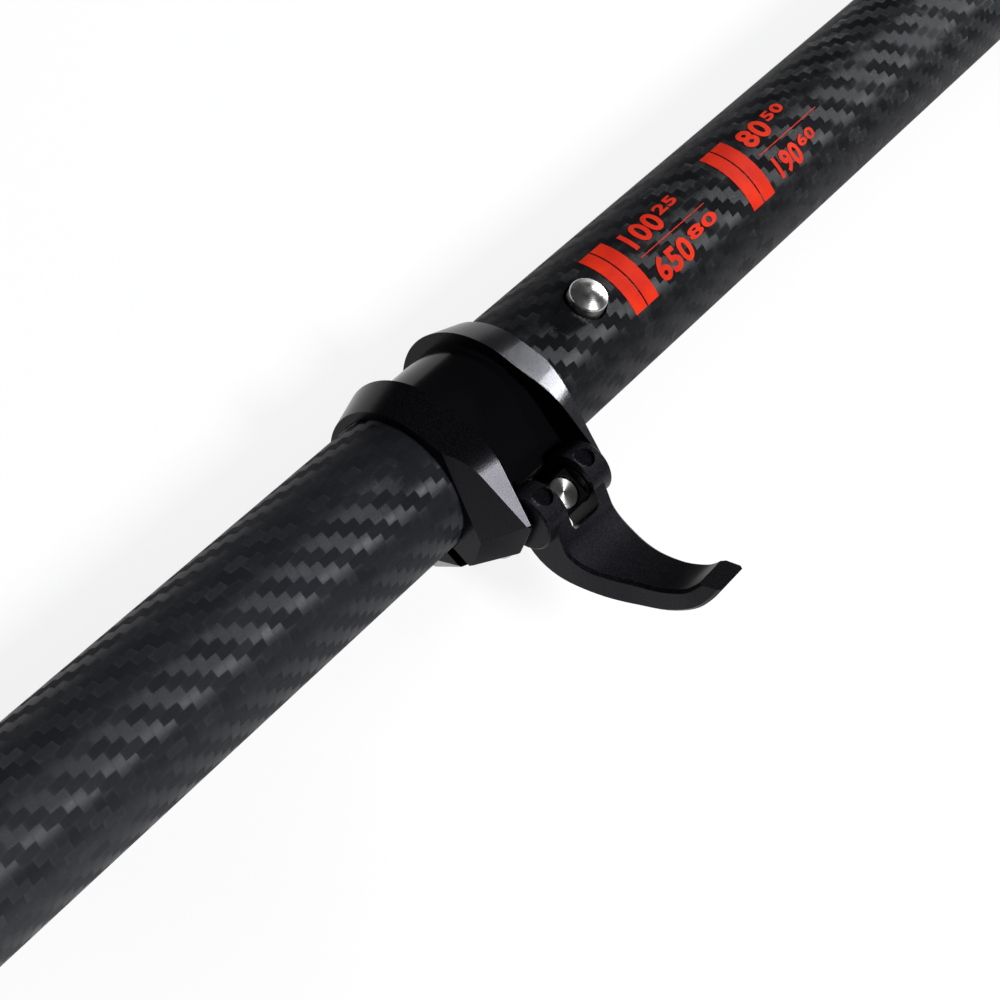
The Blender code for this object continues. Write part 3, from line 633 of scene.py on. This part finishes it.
button_x = (button_low.x + button_high.x) / 2
button_foot = (button_x, 0, 0)
flange_radius = (button_high.x - button_low.x) / 2
flange_top = button_low.z + BUTTON_FLANGE_THICK
shoulder = button_high.z - BUTTON_CROWN
edge_rise = BUTTON_EDGE * EDGE_SQUASH
crown_rise = BUTTON_CROWN - edge_rise
crown_edge = BUTTON_RADIUS - BUTTON_EDGE
crown_ball = (crown_edge ** 2 + crown_rise ** 2) / (2 * crown_rise)
crown_reach = math.asin(crown_edge / crown_ball)
profile = [
    (0, button_low.z),
    (flange_radius, button_low.z),
    (flange_radius, flange_top),
    (BUTTON_RADIUS, flange_top),
]
for k in range(EDGE_STEPS + 1):
    bend = (math.pi / 2 - crown_reach) * k / EDGE_STEPS
    radius = BUTTON_RADIUS - BUTTON_EDGE * (1 - math.cos(bend))
    profile.append((radius, shoulder + edge_rise * math.sin(bend)))
for k in range(1, CROWN_STEPS + 1):
    lean = crown_reach * (1 - k / CROWN_STEPS)
    profile.append((crown_ball * math.sin(lean), button_high.z - crown_ball * (1 - math.cos(lean))))
profile[-1] = (0, button_high.z)
snap_button = turn_profile("snap_button_cap", profile, (button_x, 0))
button_steel = turned_steel(
    "polished_button_steel", button_foot, (0, 0, 1), ring=0.35 * MM, roughness=0.24, combed=0.4
)
dress(snap_button, button_steel)
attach(snap_button, "button")
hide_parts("snap_button")

leaf_spring = fresh_copy("button_spring", "button_leaf_spring")
strip_steel = turned_steel(
    "spring_steel", button_foot, (0, 1, 0), ring=0.4 * MM, roughness=0.3, combed=0.3
)
dress(leaf_spring, strip_steel)
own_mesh(leaf_spring)


# Clamps. Each is a split collar machined from aluminium bar with a groove between two flanges, bead
# blasted and anodised black, and a forked cam lever of the same finish. The groove's floor is left
# smooth from the tool, so it shines more than the flanges.
EDGE_ROUND = 0.22 * MM
COLLAR_ROUND = 0.45 * MM
EDGE_ROUND_STEPS = 2
COLLAR_ROUND_STEPS = 3
COLLAR_CREASE = math.radians(24)
FLAT_LIMIT = math.radians(0.4)
GROOVE_WIDTH = 16.8 * MM
GROOVE_LEAN = 0.125
GROOVE_EDGE = 0.1 * MM
GRAIN = 0.30 * MM
GRAIN_DEPTH = 0.04 * MM
GRAIN_STRENGTH = 0.35
SPECK_EDGE = (0.45, 0.60)
DYE_BLOTCH = 7 * MM
DYE_ROUGH = (0.15, 0.18)
DYED_BLACK = (0.0025, 0.0025, 0.0032)
GLITTER_TINT = (0.8, 0.8, 1.1)
VIOLET_GLINT = (0.90, 0.89, 1.0, 1.0)
DYED_IOR = 1.24
TURNING_MARK = 0.5 * MM
MARK_STRETCH = (6, 1, 1)
MARK_DEPTH = 0.01 * MM
MARK_STRENGTH = 0.4
BARREL_BLACK = (0.0015, 0.0015, 0.002)
BARREL_MARK = (0.004, 0.004, 0.005)
BARREL_ROUGH = (0.30, 0.42)
BARREL_IOR = 1.15


def break_edges(piece, width, steps=EDGE_ROUND_STEPS):
    """Rounds every crease, as blasting leaves it."""
    mesh = piece.data
    shape = bmesh.new()
    shape.from_mesh(mesh)
    bmesh.ops.dissolve_limit(shape, angle_limit=FLAT_LIMIT, verts=shape.verts, edges=shape.edges)
    shape.to_mesh(mesh)
    shape.free()
    mesh.polygons.foreach_set("use_smooth", [True] * len(mesh.polygons))
    rounding = piece.modifiers.new("edge_round", "BEVEL")
    rounding.width = width
    rounding.segments = steps
    rounding.limit_method = "ANGLE"
    rounding.angle_limit = COLLAR_CREASE
    rounding.use_clamp_overlap = True
    rounding.miter_outer = "MITER_ARC"
    evened = piece.modifiers.new("even_shade", "WEIGHTED_NORMAL")
    evened.keep_sharp = True
    return piece


def blasted_anodising(name, coarseness, glitter, groove_middle=None):
    """Black anodised aluminium, bead blasted; inside a collar's groove it is smooth from the tool."""
    nodes = Nodes(name)
    grain = nodes.noise(GRAIN, detail=1.0)
    cloud = nodes.span(nodes.noise(DYE_BLOTCH, detail=3.0), *NOISE_RANGE)
    matt = 1.0
    if groove_middle is not None:
        x, y, z = nodes.place()
        up = nodes.minus(z, SHAFT_HEIGHT)
        reach = nodes.times(y, -math.cos(CLAMP_TURN))
        reach = nodes.minus(reach, nodes.times(up, math.sin(CLAMP_TURN)))
        width = nodes.plus(nodes.times(reach, GROOVE_LEAN), GROOVE_WIDTH / 2 + GROOVE_EDGE)
        aside = nodes.math("ABSOLUTE", nodes.minus(x, groove_middle))
        matt = nodes.span(nodes.minus(aside, width), 0.0, GROOVE_EDGE)
    speck = nodes.times(nodes.span(grain, *SPECK_EDGE), matt)
    nodes.relief(nodes.times(grain, matt), GRAIN_DEPTH, GRAIN_STRENGTH)
    rough = nodes.plus(nodes.times(matt, coarseness), nodes.span(cloud, 0.0, 1.0, *DYE_ROUGH))
    return nodes.look(
        Base_Color=nodes.blend(speck, DYED_BLACK, [glitter * part for part in GLITTER_TINT]),
        Roughness=rough,
        IOR=DYED_IOR,
        Specular_Tint=VIOLET_GLINT,
    )


def gloss_black():
    """Hard-anodised and polished: near black, with faint turning marks."""
    nodes = Nodes("gloss_black_barrel")
    marks = nodes.noise(TURNING_MARK, stretch=MARK_STRETCH)
    nodes.relief(marks, MARK_DEPTH, MARK_STRENGTH)
    return nodes.look(
        Base_Color=nodes.blend(marks, BARREL_BLACK, BARREL_MARK),
        Roughness=nodes.span(marks, *NOISE_RANGE, *BARREL_ROUGH),
        IOR=BARREL_IOR,
    )


lever_skin = blasted_anodising("blasted_black_lever", coarseness=0.20, glitter=0.011)
barrel_skin = gloss_black()
bolt_lie = (0.0, -math.sin(CLAMP_TURN), math.cos(CLAMP_TURN))
for end in ("lower", "upper"):
    low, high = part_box(end + "_clamp_collar")
    collar_skin = blasted_anodising(
        end + "_collar_black", coarseness=0.06, glitter=0.007, groove_middle=(low.x + high.x) / 2
    )
    low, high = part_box(end + "_clamp_bolt")
    bolt_centre = ((low.x + high.x) / 2, (low.y + high.y) / 2, (low.z + high.z) / 2)
    steel = turned_steel(
        end + "_bolt_steel", bolt_centre, bolt_lie, ring=0.3 * MM, roughness=0.38, combed=0.9
    )
    collar = fresh_copy(end + "_clamp_collar", end + "_collar")
    collar = break_edges(collar, COLLAR_ROUND, COLLAR_ROUND_STEPS)
    lever = break_edges(fresh_copy(end + "_clamp_lever", end + "_cam_lever"), EDGE_ROUND)
    barrel = break_edges(fresh_copy(end + "_clamp_barrel", end + "_barrel_nut"), EDGE_ROUND)
    bolt = break_edges(fresh_copy(end + "_clamp_bolt", end + "_draw_bolt"), EDGE_ROUND / 3)
    washer = break_edges(fresh_copy(end + "_clamp_washer", end + "_bolt_washer"), EDGE_ROUND / 2)
    for piece, look, slot_name in (
        (collar, collar_skin, "anodised_collar"),
        (lever, lever_skin, "anodised_lever"),
        (barrel, barrel_skin, "black_barrel"),
        (bolt, steel, "polished_steel"),
        (washer, steel, "polished_steel"),
    ):
        dress(piece, look)


# Blade. Moulded in two halves of carbon cloth over a foam core, pressed together at the rim, with
# a stiffening spine that runs out of the neck; the neck is glued over the blade tube.
BLADE_TOW = 2.6 * MM
BLADE_CRIMP_DEPTH = 0.03 * MM
BLADE_CRIMP_STRENGTH = 0.4
BLADE_BLOTCH = 40 * MM
BLADE_BLOTCH_DULLING = 0.06
BLADE_CREASE = math.radians(40)
TOW_DARK = ((0.0055, 0.0056, 0.0065), (0.0080, 0.0082, 0.0095))
TOW_PALE = ((0.014, 0.0145, 0.0165), (0.020, 0.0205, 0.0235))
BLADE_ROUGH = (0.50, 0.36)
BLADE_IOR = 1.52
GEL_COAT = 0.5
GEL_COAT_ROUGHNESS = 0.25


def moulded_cloth():
    """Twill laid on the slant under a thin coat of clear gel."""
    nodes = Nodes("moulded_blade_carbon")
    x, y = nodes.place()[:2]
    scale = 1 / (BLADE_TOW * math.sqrt(2))
    lean = nodes.times(nodes.plus(x, y), scale)
    cross = nodes.times(nodes.minus(x, y), scale)
    across, height, lot = twill(nodes, lean, cross)
    cloud = nodes.span(nodes.noise(BLADE_BLOTCH, detail=3.0), *NOISE_CORE)
    nodes.relief(height, BLADE_CRIMP_DEPTH, BLADE_CRIMP_STRENGTH)
    rough = nodes.span(across, 0.0, 1.0, *BLADE_ROUGH)
    return nodes.look(
        Base_Color=nodes.blend(across, nodes.blend(lot, *TOW_DARK), nodes.blend(lot, *TOW_PALE)),
        Roughness=nodes.plus(rough, nodes.times(cloud, BLADE_BLOTCH_DULLING)),
        IOR=BLADE_IOR,
        Coat_Weight=GEL_COAT,
        Coat_Roughness=GEL_COAT_ROUGHNESS,
    )


def smooth_copy(node, name, crease):
    """A copy whose gentle bends are shaded round and whose creases stay crisp."""
    piece = fresh_copy(node, name)
    piece.data.polygons.foreach_set("use_smooth", [True] * len(piece.data.polygons))
    piece.data.set_sharp_from_angle(angle=crease)
    return piece


paddle_blade = smooth_copy("blade", "moulded_blade", BLADE_CREASE)
dress(paddle_blade, moulded_cloth())


# Handle tube and palm grip. The thinner tube telescopes in the middle one; the grip is moulded
# foam rubber over a plug, with a fine pebbled skin so that a wet hand holds it.
GRIP_CREASE = math.radians(40)
PEBBLE = 0.9 * MM
PEBBLE_DEPTH = 0.12 * MM
PEBBLE_STRENGTH = 0.6
WEAR_BLOTCH = 22 * MM
RUBBER_BLACK = (0.010, 0.010, 0.011)
RUBBER_WORN = (0.026, 0.026, 0.028)
RUBBER_ROUGH = (0.62, 0.48)
RUBBER_IOR = 1.5

handle_tube = shade_turned(fresh_copy("handle_shaft", "handle_tube"), SHAFT_CENTRE, SHAFT_LIE)
dress(handle_tube, tube_cloth)


def pebbled_rubber():
    """Black foam rubber with small round pebbles, smoother where hands have worn it."""
    nodes = Nodes("pebbled_grip_rubber")
    pebbles = nodes.add("TexVoronoi", feature="SMOOTH_F1")
    nodes.put(nodes.spot(), pebbles.inputs["Vector"])
    pebbles.inputs["Scale"].default_value = 1 / PEBBLE
    bump = nodes.minus(1.0, pebbles.outputs["Distance"])
    worn = nodes.span(nodes.noise(WEAR_BLOTCH, detail=3.0), *NOISE_CORE)
    nodes.relief(bump, PEBBLE_DEPTH, PEBBLE_STRENGTH)
    return nodes.look(
        Base_Color=nodes.blend(nodes.times(bump, worn), RUBBER_BLACK, RUBBER_WORN),
        Roughness=nodes.span(worn, 0.0, 1.0, *RUBBER_ROUGH),
        IOR=RUBBER_IOR,
    )


palm_grip = smooth_copy("palm_grip", "palm_handle", GRIP_CREASE)
dress(palm_grip, pebbled_rubber())


# Studio. The paddle lies on a wide sheet of white paper. A soft lamp stands high on the lever's side
# and a wide low one beyond the end of the blade; a dim grey room gives the rest.
PAPER_REACH = 30.0
PAPER_DROP = 0.2 * MM
PAPER_FIBRE = 60 * MM
PAPER_SHADE = (0.86, 0.86, 0.86)
PAPER_WHITE = (0.88, 0.88, 0.88)
PAPER_ROUGH = 0.8
PAPER_GLOW = 0.85
ROOM_GREY = (0.06, 0.06, 0.062, 1.0)
CAMERA_FROM_CLAMP = (-258.1 * MM, -82.0 * MM, 355.2 * MM)
CAMERA_TURN = (33.04, -16.74, -51.24)
CAMERA_LENS = 86.4
CAMERA_FILM = 36.0
CAMERA_CLIP = 10 * MM
clamp_centre = Vector((clamp_x, 0, SHAFT_HEIGHT))

floor_mesh = bpy.data.meshes.new("floor")
plate = bmesh.new()
bmesh.ops.create_grid(plate, x_segments=1, y_segments=1, size=PAPER_REACH)
plate.to_mesh(floor_mesh)
plate.free()
floor = bpy.data.objects.new("floor", floor_mesh)
bpy.context.scene.collection.objects.link(floor)
floor.location.z = -PAPER_DROP


def white_paper():
    """Paper that is white to the eye and in reflections, and still takes the paddle's shadow."""
    paper = Nodes("white_paper")
    paper.look(
        Base_Color=paper.blend(paper.noise(PAPER_FIBRE), PAPER_SHADE, PAPER_WHITE),
        Roughness=PAPER_ROUGH,
    )
    glow = paper.add("Emission")
    glow.inputs["Color"].default_value = (1, 1, 1, 1)
    seen = paper.add("LightPath")
    watched = paper.math("MAXIMUM", seen.outputs["Is Camera Ray"], seen.outputs["Is Glossy Ray"])
    watched = paper.math("MAXIMUM", watched, seen.outputs["Is Transmission Ray"])
    both = paper.add("MixShader")
    paper.put(paper.times(watched, PAPER_GLOW), both.inputs[0])
    paper.put(paper.skin.outputs[0], both.inputs[1])
    paper.put(glow.outputs[0], both.inputs[2])
    paper.put(both.outputs[0], paper.tree.nodes["Material Output"].inputs["Surface"])
    return paper.material


floor.data.materials.append(white_paper())


def soft_lamp(name, azimuth, elevation, distance, width, height, power, colour):
    """A rectangular soft lamp that looks at the clamp; azimuth is counted from +X towards +Y."""
    data = bpy.data.lights.new(name, "AREA")
    data.shape = "RECTANGLE"
    data.size = width
    data.size_y = height
    data.energy = power
    data.color = colour
    lamp = bpy.data.objects.new(name, data)
    bpy.context.scene.collection.objects.link(lamp)
    round_it = math.radians(azimuth)
    over_it = math.radians(elevation)
    flat_reach = math.cos(over_it)
    away = Vector((math.cos(round_it) * flat_reach, math.sin(round_it) * flat_reach, math.sin(over_it)))
    lamp.location = clamp_centre + away * distance
    lamp.rotation_euler = away.to_track_quat("Z", "Y").to_euler()


# Azimuth and elevation in degrees; distance, width and height in metres; power in watts; colour.
soft_lamp("side_lamp", -90, 52, 1.5, 0.38, 0.34, 23.0, (1.0, 1.0, 1.0))
soft_lamp("end_lamp", 0.9, 14, 1.7, 0.70, 0.25, 41.0, (0.95, 0.97, 1.0))

room = bpy.data.worlds.new("room")
room.use_nodes = True
bpy.context.scene.world = room
room.node_tree.nodes["Background"].inputs["Color"].default_value = ROOM_GREY
room.node_tree.nodes["Background"].inputs["Strength"].default_value = 1.0

lens = bpy.data.cameras.new("camera")
lens.lens = CAMERA_LENS
lens.sensor_width = CAMERA_FILM
lens.clip_start = CAMERA_CLIP
camera = bpy.data.objects.new("camera", lens)
bpy.context.scene.collection.objects.link(camera)
camera.location = clamp_centre + Vector(CAMERA_FROM_CLAMP)
camera.rotation_euler = [math.radians(turn) for turn in CAMERA_TURN]
bpy.context.scene.camera = camera
bpy.context.scene.view_settings.view_transform = "Standard"
